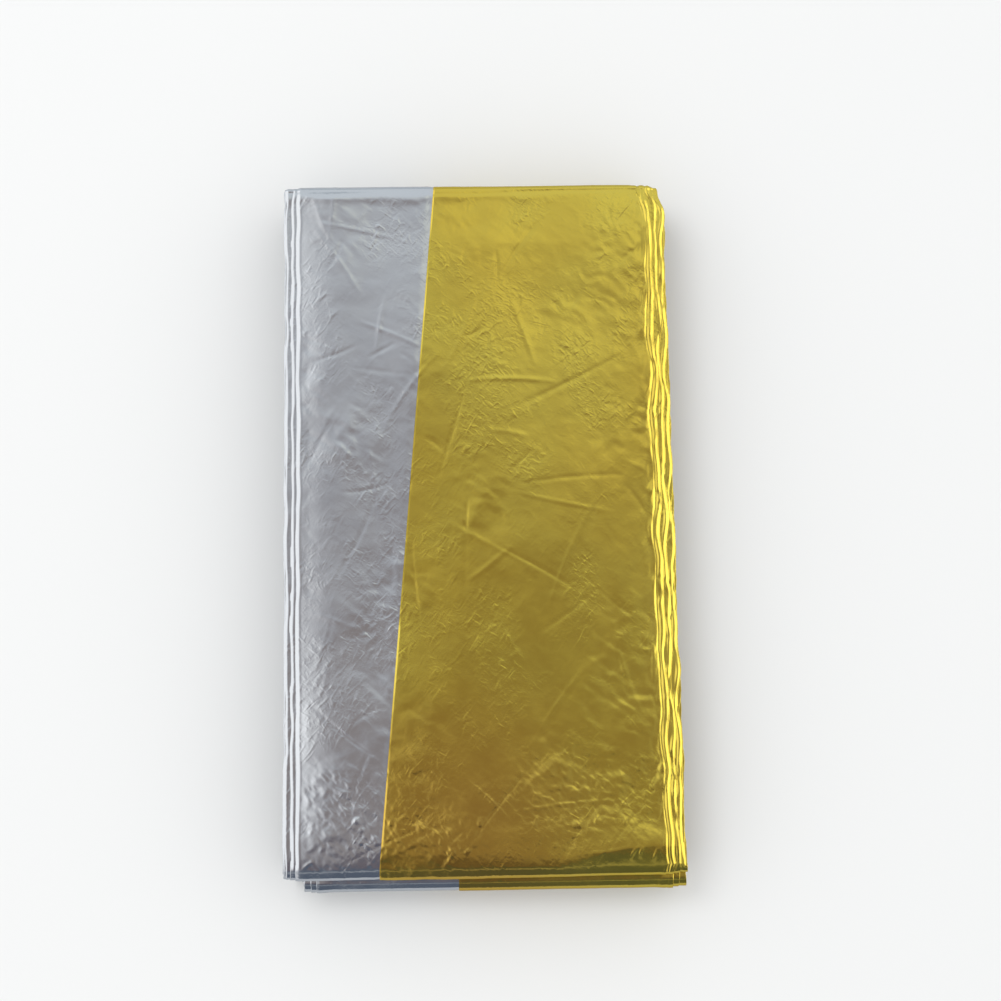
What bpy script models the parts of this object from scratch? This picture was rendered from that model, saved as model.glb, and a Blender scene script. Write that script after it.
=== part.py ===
# Folded foil emergency blanket.
#
# One plain sheet of metallised film. It is pleated across its width into a strip, the strip is
# doubled at its middle, and the doubled strip is fan folded along its length into a flat packet.
# The solid is the strip as it runs back and forth: rings of points round the strip, carried
# along the path of its folds. Metres, +Z up. The packet lies face up, its length along Y, with
# the origin on the surface under its middle.

import math
from collections import namedtuple

import bmesh
import bpy

MM = 0.001

# The cut sheet, pleated across its width into whole pleats and one part pleat
CUT_WIDTH = 1400 * MM
CUT_LENGTH = 2100 * MM
PLEATS = 16
PART_PLEAT = 54 * MM
PLEAT_WIDTH = (CUT_WIDTH - PART_PLEAT) / PLEATS

# The strip is doubled and then folded into lengths of two layers each
BUNDLES = 7
LAYERS = 2 * BUNDLES
PANEL_LENGTH = CUT_LENGTH / LAYERS

# One layer is the strip's pleats pressed together, with the air they hold
LAYER_THICK = 1.0 * MM
LAYER_GAP = 0.2 * MM
LAYER_PITCH = LAYER_THICK + LAYER_GAP
STACK_HEIGHT = (LAYERS - 1) * LAYER_PITCH + LAYER_THICK

# The part pleat on the outer face stops short of the left edge and leaves a step there
FREE_EDGE_STEP = 0.22 * MM

# The outer pleats stop short of the ones under them, so both side edges go down in lips
LIP_WIDTH = 1.3 * MM
LIP_DROP = 0.22 * MM

# The right-hand lips are crumpled: wavelength and phase of the waves in their edge
CRUMPLE = 0.45 * MM
CRUMPLE_WAVES = ((23.0 * MM, 0.3), (14.5 * MM, 1.9))
CRUMPLE_LAG = 1.7

# The packet is a little fuller in its middle, and its faces are uneven
CROWN_ACROSS = 1.04 * PLEAT_WIDTH
CROWN_ALONG = 1.03 * PANEL_LENGTH
CROWN = 0.5 * MM
SWELL = 0.2 * MM
SWELL_ACROSS = 71 * MM
SWELL_ALONG = 93 * MM

# Rings of points along the path
RINGS_IN_PANEL = 6
RINGS_IN_TOP_PANEL = 30
RINGS_IN_FOLD = 5
RINGS_IN_OUTER_FOLD = 8

# Points across the faces of the strip, as shares of the way across
SILVER_COLUMNS = (0.5,)
GOLD_COLUMNS = (0.25, 0.5, 0.75)
INNER_COLUMNS = (0.8, 0.6, 0.4, 0.2)

# Each fold of the doubled strip, from the top of the packet down, in millimetres. side is the
# end of the packet on +Y or -Y. beyond is how far the fold reaches past half a panel's length,
# and left and right are how far the strip's edges there stand out past half a pleat's width.
# free_edge is the X at which the film's free edge crosses the fold, skew is what the fold's line
# gains on +Y for each millimetre of +X, and lift is how far the springy folds under it hold it up.
Fold = namedtuple("Fold", "side beyond left right free_edge skew lift")
FOLDS = (
    Fold(side=+1, beyond=1.3, left=1.7, right=-2.7, free_edge=-11.0, skew=0.007, lift=1.0),
    Fold(side=-1, beyond=-0.7, left=0.4, right=0.6, free_edge=-22.1, skew=0.017, lift=1.1),
    Fold(side=+1, beyond=1.6, left=1.2, right=-3.2, free_edge=-14.9, skew=0.004, lift=0.7),
    Fold(side=-1, beyond=2.1, left=-3.6, right=0.9, free_edge=-5.4, skew=0.015, lift=0.8),
    Fold(side=+1, beyond=0.5, left=0.4, right=-2.8, free_edge=-8.9, skew=-0.006, lift=0.3),
    Fold(side=-1, beyond=-0.1, left=0.0, right=0.2, free_edge=-12.9, skew=0.010, lift=0.4),
    Fold(side=+1, beyond=0.9, left=0.8, right=-2.4, free_edge=-15.9, skew=0.005, lift=0.0),
    Fold(side=-1, beyond=-2.3, left=0.2, right=0.4, free_edge=-18.9, skew=0.012, lift=0.0),
)
CLOSED_END = 0
OPEN_END = BUNDLES

# A place on the strip's path: where its middle is, which way its outer face looks, and where
# its edges are
Station = namedtuple("Station", "y z face_y face_z left right free_edge skew")


def layers_in_order():
    """The layers, numbered from the top, in the order in which the strip runs through them."""
    bundles = range(1, BUNDLES + 1)
    down_to_open_end = [2 * bundle - bundle % 2 for bundle in bundles]
    up_to_closed_end = [2 * bundle - 1 + bundle % 2 for bundle in reversed(bundles)]
    return up_to_closed_end + down_to_open_end


def layer_height(layer):
    """The height of a layer's middle, before any fold lifts it."""
    return LAYER_THICK / 2 + (LAYERS - layer) * LAYER_PITCH


def fold_between(layer, following):
    """The index in FOLDS of the fold that joins two layers, which lies between their bundles."""
    bundle = (layer + 1) // 2
    next_bundle = (following + 1) // 2
    return CLOSED_END if bundle == next_bundle else min(bundle, next_bundle)


def straight_ends_at(index):
    """The distance along Y at which the straight layers stop and a fold begins."""
    fold = FOLDS[index]
    reach = PANEL_LENGTH / 2 + fold.beyond * MM
    if index == OPEN_END:
        return fold.side * reach
    turn = LAYER_PITCH / 2 if index == CLOSED_END else LAYER_PITCH * 3 / 2
    return fold.side * (reach - LAYER_THICK / 2 - turn)


def edges_along(start, end, share):
    """The strip's left edge, right edge, free edge and skew, part of the way between two folds."""
    def between(name):
        return (1 - share) * getattr(start, name) + share * getattr(end, name)

    left = -PLEAT_WIDTH / 2 - between("left") * MM
    right = PLEAT_WIDTH / 2 + between("right") * MM
    return left, right, between("free_edge") * MM, between("skew")


def panel_stations(layer, start, end):
    """A straight layer between two folds, given by their indices. Its ends are included."""
    rings = RINGS_IN_TOP_PANEL if layer == 1 else RINGS_IN_PANEL
    first = straight_ends_at(start)
    last = straight_ends_at(end)
    facing = -FOLDS[end].side
    for step in range(rings + 1):
        share = step / rings
        y = first + (last - first) * share
        lift = FOLDS[start].lift * (1 - share) ** 2 + FOLDS[end].lift * share**2
        edges = edges_along(FOLDS[start], FOLDS[end], share)
        yield Station(y, layer_height(layer) + lift * MM, 0.0, facing, *edges)


def fold_stations(layer, following):
    """The half turn from a layer to the one that follows it, without its two ends."""
    index = fold_between(layer, following)
    fold = FOLDS[index]
    outermost = index == CLOSED_END or abs(layer - following) > 1
    rings = RINGS_IN_OUTER_FOLD if abs(layer - following) > 1 else RINGS_IN_FOLD
    middle_z = (layer_height(layer) + layer_height(following)) / 2 + fold.lift * MM
    radius = abs(layer_height(layer) - layer_height(following)) / 2
    upwards = 1 if layer < following else -1
    facing = 1 if outermost else -1
    for step in range(1, rings):
        angle = math.pi * step / rings
        out_y = fold.side * math.sin(angle)
        out_z = upwards * math.cos(angle)
        yield Station(
            straight_ends_at(index) + radius * out_y,
            middle_z + radius * out_z,
            facing * out_y,
            facing * out_z,
            *edges_along(fold, fold, 0.0),
        )


def strip_path():
    """All stations of the strip, from one cut end to the other."""
    order = layers_in_order()
    stations = []
    start = OPEN_END
    for layer, following in zip(order, order[1:] + [None]):
        end = OPEN_END if following is None else fold_between(layer, following)
        stations += panel_stations(layer, start, end)
        if following is not None:
            stations += fold_stations(layer, following)
        start = end
    return stations


def crumple_at(run, lip):
    """How far a crumpled lip stands out, at a distance along the strip."""
    lag = CRUMPLE_LAG * lip
    waves = [math.sin(math.tau * run / length + phase + lag) for length, phase in CRUMPLE_WAVES]
    return CRUMPLE * sum(waves) / len(waves)


def spread(start, end, shares):
    return [start + (end - start) * share for share in shares]


def section_at(station, run):
    """The strip's outline as pairs: x, and the height from its middle towards its outer face."""
    gold = LAYER_THICK / 2
    silver = gold - FREE_EDGE_STEP
    inner = -LAYER_THICK / 2
    left_lips = [station.left + LIP_WIDTH * lip for lip in (2, 1, 0)]
    right_lips = [station.right - LIP_WIDTH * lip + crumple_at(run, lip) for lip in (0, 1, 2)]

    outline = []
    for lip, x in enumerate(left_lips):
        top = silver - LIP_DROP * lip
        bottom = inner if lip == 2 else top - LIP_DROP
        outline += [(x, top), (x, bottom)]
    outline += [(x, inner) for x in reversed(spread(left_lips[2], right_lips[0], INNER_COLUMNS))]
    for lip, x in enumerate(right_lips):
        top = gold - LIP_DROP * (2 - lip)
        bottom = inner if lip == 0 else top - LIP_DROP
        outline += [(x, bottom), (x, top)]
    outline += [(x, gold) for x in spread(right_lips[2], station.free_edge, GOLD_COLUMNS)]
    outline += [(station.free_edge, gold), (station.free_edge, silver)]
    outline += [(x, silver) for x in spread(station.free_edge, left_lips[0], SILVER_COLUMNS)]
    return outline


def fullness(x, y):
    """How much higher than flat the top of the packet is at a place."""
    across = max(0.0, 1 - (2 * x / CROWN_ACROSS) ** 2)
    along = max(0.0, 1 - (2 * y / CROWN_ALONG) ** 2)
    swell = math.sin(math.tau * x / SWELL_ACROSS) * math.cos(math.tau * y / SWELL_ALONG)
    return CROWN * across * along + SWELL * swell


def ring_at(station, run):
    """The outline's points in space. Fullness grows with height, so the underside stays flat."""
    ring = []
    for x, height in section_at(station, run):
        y = station.y + height * station.face_y + station.skew * x
        z = station.z + height * station.face_z
        ring.append((x, y, z * (1 + fullness(x, y) / STACK_HEIGHT)))
    return ring


def film_material():
    material = bpy.data.materials.new("metallised_film")
    material.use_nodes = True
    shader = material.node_tree.nodes["Principled BSDF"]
    shader.inputs["Base Color"].default_value = (0.93, 0.72, 0.11, 1)
    shader.inputs["Metallic"].default_value = 1.0
    shader.inputs["Roughness"].default_value = 0.15
    return material


def folded_film():
    mesh = bpy.data.meshes.new("folded_film")
    shape = bmesh.new()
    rings = []
    run = 0.0
    previous = None
    for station in strip_path():
        if previous is not None:
            run += math.hypot(station.y - previous.y, station.z - previous.z)
        rings.append([shape.verts.new(point) for point in ring_at(station, run)])
        previous = station
    for ring, following in zip(rings, rings[1:]):
        for index in range(len(ring)):
            after = (index + 1) % len(ring)
            shape.faces.new((ring[index], ring[after], following[after], following[index]))
    shape.faces.new(rings[0])
    shape.faces.new(rings[-1])
    bmesh.ops.recalc_face_normals(shape, faces=shape.faces)
    shape.to_mesh(mesh)
    shape.free()
    mesh.shade_smooth()
    mesh.set_sharp_from_angle(angle=math.radians(40))
    mesh.materials.append(film_material())
    film = bpy.data.objects.new("folded_film", mesh)
    bpy.context.scene.collection.objects.link(film)
    return film


for leftover in list(bpy.data.objects):
    bpy.data.objects.remove(leftover)
folded_film()
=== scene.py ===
import math

import bpy
import numpy as np
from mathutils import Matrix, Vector


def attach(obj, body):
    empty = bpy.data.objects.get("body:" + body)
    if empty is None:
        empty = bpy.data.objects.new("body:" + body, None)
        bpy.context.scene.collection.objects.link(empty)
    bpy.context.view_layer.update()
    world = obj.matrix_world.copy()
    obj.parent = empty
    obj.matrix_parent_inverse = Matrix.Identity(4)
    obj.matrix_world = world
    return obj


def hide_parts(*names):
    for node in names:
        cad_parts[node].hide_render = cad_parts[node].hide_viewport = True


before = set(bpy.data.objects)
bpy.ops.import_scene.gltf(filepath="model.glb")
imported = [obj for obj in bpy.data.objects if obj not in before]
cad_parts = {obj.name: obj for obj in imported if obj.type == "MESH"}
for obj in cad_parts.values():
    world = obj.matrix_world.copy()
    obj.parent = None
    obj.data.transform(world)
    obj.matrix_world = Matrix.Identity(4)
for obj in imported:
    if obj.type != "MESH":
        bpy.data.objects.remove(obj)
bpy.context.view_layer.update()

# A foil emergency blanket: one cut sheet of metallised film, pleated and fan folded into a packet.
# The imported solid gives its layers. Here the same folds are filled with the film itself.
# Lengths are in millimetres until a mesh is made.

mm = 0.001


def table(columns, rows):
    # each row's values by the names of their columns
    return [dict(zip(columns, row)) for row in rows]


# Camera

cameraSet = {
    "target": (3.64, 8.76, 0.0),   # the place on the floor that it looks at
    "elevation": 81.73,            # degrees above the floor, from the near end
    "distance": 533.0,
    "lens": 85.9,
    "sensor": 36.0,
    "roll": -0.14,                 # degrees
    "nearest": 10.0,               # what is closer to it doesn't show
}


def makeCamera():
    tilt = math.radians(cameraSet["elevation"])
    back = Vector((0.0, -math.cos(tilt), math.sin(tilt)))
    data = bpy.data.cameras.new("camera")
    data.lens = cameraSet["lens"]
    data.sensor_width = cameraSet["sensor"]
    data.clip_start = cameraSet["nearest"] * mm
    camera = bpy.data.objects.new("camera", data)
    camera.location = (Vector(cameraSet["target"]) + back * cameraSet["distance"]) * mm
    turn = back.to_track_quat("Z", "Y").to_euler()
    turn.rotate_axis("Z", math.radians(cameraSet["roll"]))
    camera.rotation_euler = turn
    bpy.context.scene.collection.objects.link(camera)
    bpy.context.scene.camera = camera


makeCamera()
print("camera placed")


# The folded sheet

sheet = {
    "cutWidth": 1400.0,
    "cutLength": 2100.0,
    "pleats": 16,          # whole pleats across the sheet
    "partPleat": 54.0,     # the pleat that is left over, on the outer face
    "bundles": 7,          # lengths of the doubled strip
    "layerThick": 1.0,     # the strip's pleats pressed together
    "layerGap": 0.2,
    "crown": 0.5,          # how much fuller the packet is in its middle
    "crownAcross": 1.04,   # and over how much of a pleat's width and a panel's length
    "crownAlong": 1.03,
    "swell": 0.2,          # how uneven its faces are
    "swellAcross": 71.0,
    "swellAlong": 93.0,
}
plies = sheet["pleats"] + 1
layers = 2 * sheet["bundles"]
pleatWidth = (sheet["cutWidth"] - sheet["partPleat"]) / sheet["pleats"]
panelLength = sheet["cutLength"] / layers
layerPitch = sheet["layerThick"] + sheet["layerGap"]
stackHeight = (layers - 1) * layerPitch + sheet["layerThick"]

# Each fold of the doubled strip, from the top of the packet down. side is the end of the packet,
# beyond is how far the fold reaches past half a panel, left and right are how far the edges stand
# out past half a pleat, freeEdge is where the part pleat ends, skew is what the fold's line gains
# along the packet for each millimetre across it, and lift is how far springy folds hold it up.
foldColumns = ("side", "beyond", "left", "right", "freeEdge", "skew", "lift")
foldRows = (
    (+1, 1.3, 1.7, -2.7, -11.0, 0.007, 1.0),
    (-1, -0.7, 0.4, 0.6, -22.1, 0.017, 1.1),
    (+1, 1.6, 1.2, -3.2, -14.9, 0.004, 0.7),
    (-1, 2.1, -3.6, 0.9, -5.4, 0.015, 0.8),
    (+1, 0.5, 0.4, -2.8, -8.9, -0.006, 0.3),
    (-1, -0.1, 0.0, 0.2, -12.9, 0.010, 0.4),
    (+1, 0.9, 0.8, -2.4, -15.9, 0.005, 0.0),
    (-1, -2.3, 0.2, 0.4, -18.9, 0.012, 0.0),
)
folds = table(foldColumns, foldRows)
closedEnd = 0
openEnd = sheet["bundles"]


def layersInOrder():
    # numbered from the top, in the order in which the strip runs through them
    bundles = range(1, sheet["bundles"] + 1)
    downToOpenEnd = [2 * bundle - bundle % 2 for bundle in bundles]
    upToClosedEnd = [2 * bundle - 1 + bundle % 2 for bundle in reversed(bundles)]
    return upToClosedEnd + downToOpenEnd


def layerHeight(layer):
    return sheet["layerThick"] / 2 + (layers - layer) * layerPitch


def foldBetween(layer, following):
    bundle = (layer + 1) // 2
    nextBundle = (following + 1) // 2
    return closedEnd if bundle == nextBundle else min(bundle, nextBundle)


def straightEnd(index):
    # where along the packet the straight layers stop and a fold begins
    fold = folds[index]
    reach = panelLength / 2 + fold["beyond"]
    if index == openEnd:
        return fold["side"] * reach
    turn = layerPitch / 2 if index == closedEnd else layerPitch * 3 / 2
    return fold["side"] * (reach - sheet["layerThick"] / 2 - turn)


def edgesBetween(start, end, share):
    def between(name):
        return (1 - share) * folds[start][name] + share * folds[end][name]

    left = -pleatWidth / 2 - between("left")
    right = pleatWidth / 2 + between("right")
    return left, right, between("freeEdge"), between("skew")


pathColumns = ("y", "z", "faceY", "faceZ", "bend", "left", "right", "freeEdge", "skew")
rowsInPanel = 40
rowsInBend = 28
leastBend = 1e-6       # below this the strip counts as straight


def panelRows(layer, start, end):
    facing = -folds[end]["side"]
    for step in range(rowsInPanel + 1):
        share = step / rowsInPanel
        y = straightEnd(start) * (1 - share) + straightEnd(end) * share
        lift = folds[start]["lift"] * (1 - share) ** 2 + folds[end]["lift"] * share**2
        yield (y, layerHeight(layer) + lift, 0.0, facing, 0.0, *edgesBetween(start, end, share))


def bendRows(layer, following):
    index = foldBetween(layer, following)
    fold = folds[index]
    outermost = index == closedEnd or abs(layer - following) > 1
    facing = 1 if outermost else -1
    middle = (layerHeight(layer) + layerHeight(following)) / 2 + fold["lift"]
    radius = abs(layerHeight(layer) - layerHeight(following)) / 2
    upwards = 1 if layer < following else -1
    for step in range(1, rowsInBend):
        angle = math.pi * step / rowsInBend
        outY = fold["side"] * math.sin(angle)
        outZ = upwards * math.cos(angle)
        spot = (straightEnd(index) + radius * outY, middle + radius * outZ)
        yield (*spot, facing * outY, facing * outZ, math.sin(angle), *edgesBetween(index, index, 0))


def foldPath():
    # the strip's whole way through the packet, and where on it each layer begins and ends
    order = layersInOrder()
    rows = []
    spans = {}
    start = openEnd
    for layer, following in zip(order, order[1:] + [None]):
        end = openEnd if following is None else foldBetween(layer, following)
        first = len(rows)
        rows += panelRows(layer, start, end)
        spans[layer] = (first, len(rows) - 1)
        if following is not None:
            rows += bendRows(layer, following)
        start = end
    values = np.array(rows)
    steps = np.hypot(np.diff(values[:, 0]), np.diff(values[:, 1]))
    run = np.concatenate([[0.0], np.cumsum(steps)])
    columns = {name: values[:, i] for i, name in enumerate(pathColumns)}
    return run, columns, {layer: (run[a], run[b]) for layer, (a, b) in spans.items()}


pathRun, path, layerRun = foldPath()
print(f"fold path: {pathRun[-1]:.0f} mm of strip in {layers} layers")


def along(name, run):
    return np.interp(run, pathRun, path[name])


def runsBetween(start, end, step, every=1):
    # places along the strip: evenly spaced where it is straight, and closer in its bends
    inside = (pathRun > start) & (pathRun < end) & (path["bend"] > 0)
    bends = pathRun[inside][::every]
    straight = np.arange(start, end, step)
    clear = np.interp(straight, pathRun, path["bend"]) < leastBend
    return np.unique(np.round(np.concatenate([straight[clear], bends, [end]]), 4))[:, None]


def fullness(x, y):
    across = np.maximum(0.0, 1 - (2 * x / (sheet["crownAcross"] * pleatWidth)) ** 2)
    lengthwise = np.maximum(0.0, 1 - (2 * y / (sheet["crownAlong"] * panelLength)) ** 2)
    swell = np.sin(math.tau * x / sheet["swellAcross"]) * np.cos(math.tau * y / sheet["swellAlong"])
    return sheet["crown"] * across * lengthwise + sheet["swell"] * swell


def place(run, x, height):
    # points in space: a distance along the strip, a place across it, a height towards its outer face
    faceY, faceZ = along("faceY", run), along("faceZ", run)
    size = np.hypot(faceY, faceZ)
    y = along("y", run) + height * faceY / size + along("skew", run) * x
    z = along("z", run) + height * faceZ / size
    z = np.maximum(z * (1 + fullness(x, y) / stackHeight), 0.0)
    return np.stack(np.broadcast_arrays(x, y, z), axis=-1)


# Noise and crinkles

noiseTable = np.random.default_rng(21).uniform(-1, 1, (256, 256))


def noiseAt(i, j, seed):
    return noiseTable[(i + 37 * seed) % 256, (j + 101 * seed) % 256]


def softNoise(x, y, size, seed):
    # smooth swelling with bumps about this size apart, from -1 to 1
    px, py = x / size, y / size
    i, j = np.floor(px).astype(int), np.floor(py).astype(int)
    fx, fy = px - i, py - j
    fx, fy = fx * fx * (3 - 2 * fx), fy * fy * (3 - 2 * fy)
    near = noiseAt(i, j, seed) * (1 - fx) + noiseAt(i + 1, j, seed) * fx
    far = noiseAt(i, j + 1, seed) * (1 - fx) + noiseAt(i + 1, j + 1, seed) * fx
    return near * (1 - fy) + far * fy


def waver(run, size, seed):
    # the same along one line
    return softNoise(run, 0 * run, size, seed)


facetBend = {"far": 0.45, "over": 1.9}     # how far creases stray, and over what length, in facets


def facetNoise(x, y, size, seed, turn, stretch):
    # flat facets that meet in sharp creases, as in film that was crushed: from -1 to 1
    bendX = facetBend["far"] * size * softNoise(x, y, size * facetBend["over"], seed + 1)
    bendY = facetBend["far"] * size * softNoise(x, y, size * facetBend["over"], seed + 2)
    c, s = math.cos(math.radians(turn)), math.sin(math.radians(turn))
    px = (c * (x + bendX) + s * (y + bendY)) / size
    py = (c * (y + bendY) - s * (x + bendX)) / (size * stretch)
    skewed = (px + py) * (math.sqrt(3) - 1) / 2
    px, py = px + skewed, py + skewed
    i, j = np.floor(px).astype(int), np.floor(py).astype(int)
    fx, fy = px - i, py - j
    low = np.minimum(fx, fy)
    high = np.maximum(fx, fy)
    side = np.where(fx > fy, noiseAt(i + 1, j, seed), noiseAt(i, j + 1, seed))
    return noiseAt(i, j, seed) * (1 - high) + side * (high - low) + noiseAt(i + 1, j + 1, seed) * low


def smoothStep(value, start, end):
    share = np.clip((value - start) / (end - start), 0, 1)
    return share * share * (3 - 2 * share)


crinkles = {
    "swells": ((34.0, 0.14), (13.0, 0.05)),        # size, height
    "facets": (
        {"size": 6.5, "height": 0.070, "turn": 17, "stretch": 1.6, "nearOnly": False},
        {"size": 2.9, "height": 0.046, "turn": 63, "stretch": 1.9, "nearOnly": False},
        {"size": 1.5, "height": 0.036, "turn": 126, "stretch": 2.0, "nearOnly": False},
        {"size": 0.75, "height": 0.032, "turn": 136, "stretch": 1.8, "nearOnly": True},
    ),
    "nearPart": (46.0, 54.0),   # how far down the packet the film is drawn finer
    "patchSize": 15.0,       # crinkled patches lie between calm ones
    "patch": (-0.30, 0.45),  # from calm to crinkled, by the level of their noise
    "calm": 0.22,            # the share of the facets' height that is left in a calm patch
}

# Places on the top face where the crinkles are stronger or calmer, by their level
crinklePlaces = table(("x", "y", "radius", "level"), (
    (-31.0, -66.0, 10.0, 0.85),
    (-12.0, -65.0, 9.0, 0.75),
    (10.0, -69.0, 9.0, 0.15),
    (33.0, -68.0, 8.0, 0.30),
    (12.0, 75.0, 24.0, 0.25),
    (-27.0, 75.0, 12.0, 0.33),
))

# Creases strewn over parts of the film: long ones all over it, and on the top face short ripples
# where it was pressed and small wrinkles towards the near fold
creaseFields = {
    "long": {
        "seed": 9, "count": 85, "x": (-42.0, 42.0), "y": (-75.0, 75.0), "turn": (0, 180),
        "length": (4.0, 26.0), "bow": 0.9, "width": (0.45, 0.9), "height": (0.02, 0.06), "troughs": 0.5,
    },
    "ripples": {
        "seed": 3, "count": 38, "x": (-21.0, 36.0), "y": (-63.6, -62.0), "turn": (80, 125),
        "length": (1.2, 2.6), "bow": 0.1, "width": (0.60, 0.9), "height": (0.02, 0.05), "troughs": 0.0,
    },
    "silverWrinkles": {
        "seed": 4, "count": 44, "x": (-38.0, -23.0), "y": (-69.5, -61.0), "turn": (20, 160),
        "length": (1.0, 2.8), "bow": 0.3, "width": (0.55, 0.8), "height": (0.02, 0.045), "troughs": 0.3,
    },
    "goldWrinkles": {
        "seed": 6, "count": 40, "x": (-21.0, 0.0), "y": (-69.5, -61.0), "turn": (20, 160),
        "length": (1.0, 2.8), "bow": 0.3, "width": (0.55, 0.8), "height": (0.02, 0.045), "troughs": 0.4,
    },
}
drawnInOrder = ("x", "y", "turn", "length", "width", "height")

# Single creases: where their middle is, how they lie, and how far they bow
singleCreases = table(("x", "y", "turn", "length", "bow", "width", "height"), (
    (-7.5, -69.3, -40, 5.5, 0.3, 0.45, 0.05),
    (-7.1, -69.9, 59, 4.6, 0.0, 0.45, 0.05),
    (31.9, -69.7, 58, 3.4, 0.4, 0.45, 0.11),
    (33.4, -69.5, 71, 2.6, 0.3, 0.45, 0.11),
    (36.2, -70.0, 69, 3.0, 0.0, 0.45, 0.11),
    (38.2, -69.8, -49, 3.4, -0.4, 0.45, 0.11),
    (-37.6, -71.0, 35, 3.8, 0.0, 0.50, 0.08),
    (-25.2, -67.3, -28, 6.4, 0.4, 0.50, 0.05),
    (25.0, -69.0, 7, 12.0, -0.3, 0.50, 0.04),
))


def creaseHeight(x, y, creases):
    # low sharp ridges or troughs that fade at their ends
    height = np.zeros(np.broadcast(x, y).shape)
    for crease in creases:
        turn = math.radians(crease["turn"])
        fromX, fromY = x - crease["x"], y - crease["y"]
        lengthwise = (fromX * math.cos(turn) + fromY * math.sin(turn)) / (crease["length"] / 2)
        across = fromY * math.cos(turn) - fromX * math.sin(turn) - crease["bow"] * (1 - lengthwise**2)
        fade = np.clip(1 - np.abs(lengthwise), 0, 1) ** 0.5
        height += crease["height"] * fade * np.clip(1 - np.abs(across) / crease["width"], 0, 1)
    return height


def strewn(field):
    draw = np.random.default_rng(field["seed"])
    creases = []
    for _ in range(field["count"]):
        crease = {name: draw.uniform(*field[name]) for name in drawnInOrder}
        crease["bow"] = draw.uniform(-field["bow"], field["bow"])
        if draw.uniform() < field["troughs"]:
            crease["height"] *= -1
        creases.append(crease)
    return creases


longCreases = strewn(creaseFields["long"])
topCreases = [*singleCreases]
for name in ("ripples", "silverWrinkles", "goldWrinkles"):
    topCreases += strewn(creaseFields[name])


def crinkle(x, run, seed, level, onTop):
    y = along("y", run)
    height = 0
    for size, depth in crinkles["swells"]:
        height = height + depth * softNoise(x, run, size, seed)
    patch = smoothStep(softNoise(x, run, crinkles["patchSize"], seed + 3), *crinkles["patch"])
    share = crinkles["calm"] + (1 - crinkles["calm"]) * patch
    if onTop:
        for spot in crinklePlaces:
            distance = np.hypot(x - spot["x"], y - spot["y"]) / spot["radius"]
            share = share + (spot["level"] - share) * np.exp(-distance**2)
        height = height + creaseHeight(x, y, topCreases) / level
    near = smoothStep(-y, *crinkles["nearPart"]) if onTop else 0.0
    for index, facet in enumerate(crinkles["facets"]):
        noise = facetNoise(x, run, facet["size"], seed + 5 * index, facet["turn"], facet["stretch"])
        height = height + share * facet["height"] * noise * (near if facet["nearOnly"] else 1.0)
    return level * (height + creaseHeight(x, y, longCreases))


# Meshes


def gridFaces(rows, columns):
    corner = (np.arange(rows - 1)[:, None] * columns + np.arange(columns - 1)[None, :]).ravel()
    return np.stack([corner, corner + columns, corner + columns + 1, corner + 1], axis=1)


def makePiece(name, grids):
    # each grid is its points, and the side of the film that each column of its faces shows
    points, faces, slots = [], [], []
    first = 0
    for grid, slot in grids:
        rows, columns = grid.shape[:2]
        points.append(grid.reshape(-1, 3))
        faces.append(gridFaces(rows, columns) + first)
        slots.append(np.tile(np.broadcast_to(slot, columns - 1), rows - 1))
        first += rows * columns
    points, faces, slots = np.concatenate(points), np.concatenate(faces), np.concatenate(slots)
    mesh = bpy.data.meshes.new(name)
    mesh.vertices.add(len(points))
    mesh.vertices.foreach_set("co", (points * mm).astype(np.float32).ravel())
    mesh.loops.add(faces.size)
    mesh.loops.foreach_set("vertex_index", faces.ravel().astype(np.int32))
    mesh.polygons.add(len(faces))
    mesh.polygons.foreach_set("loop_start", np.arange(0, faces.size, 4, dtype=np.int32))
    for material in filmSides:
        mesh.materials.append(material)
    mesh.polygons.foreach_set("material_index", slots.astype(np.int32))
    mesh.update(calc_edges=True)
    mesh.shade_smooth()
    piece = bpy.data.objects.new(name, mesh)
    bpy.context.scene.collection.objects.link(piece)
    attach(piece, "root")
    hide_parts("folded_film")
    print(f"{name}: {2 * len(faces)} triangles")
    return piece


# Materials

def linear(hexColour):
    values = [int(hexColour[i:i + 2], 16) / 255 for i in (1, 3, 5)]
    return [v / 12.92 if v <= 0.04045 else ((v + 0.055) / 1.055) ** 2.4 for v in values] + [1.0]


def addNode(tree, kind, settings=None, links=None):
    # one node, its settings by name, and what is linked or set at each input
    node = tree.nodes.new(kind)
    for name, value in (settings or {}).items():
        setattr(node, name, value)
    for name, value in (links or {}).items():
        socket = node.inputs[name]
        if isinstance(value, bpy.types.NodeSocket):
            tree.links.new(value, socket)
        else:
            socket.default_value = value
    return node


# Biaxially drawn polyester film, 12 micrometres, vacuum metallised with aluminium. One side is
# lacquered gold. To the eye it is a soft mirror, hazed a little by handling, with fine crinkles.
filmFinish = {
    "goldLight": "#F9E662",
    "goldDeep": "#F0CB4B",
    "silverLight": "#EAEDF0",
    "silverDeep": "#DDE1E7",
    "toneSize": 24.0,          # patches where the coat is thicker
    "goldPaintedReflection": "#EBC257",    # painted reflection: a warmer, duller gold for the warm light the film mirrors near the near fold, and where it lies
    "paintedReflectionPlace": (-6.0, -67.0, 17.0),
    "paintedReflectionRadius": (6.0, 44.0),
    "roughness": (0.11, 0.22),
    "hazeSize": 7.0,           # rubbed places
    "hazeFrom": (0.35, 0.7),   # between these levels of its noise the film goes from clear to rubbed
    "goldEdge": "#F7DE84",     # the lacquer keeps its colour at a glancing angle
    "silverEdge": "#FFFFFF",
    "coat": 0.4,               # the clear film or lacquer over the metal
    "coatRoughness": 0.06,
}

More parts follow.
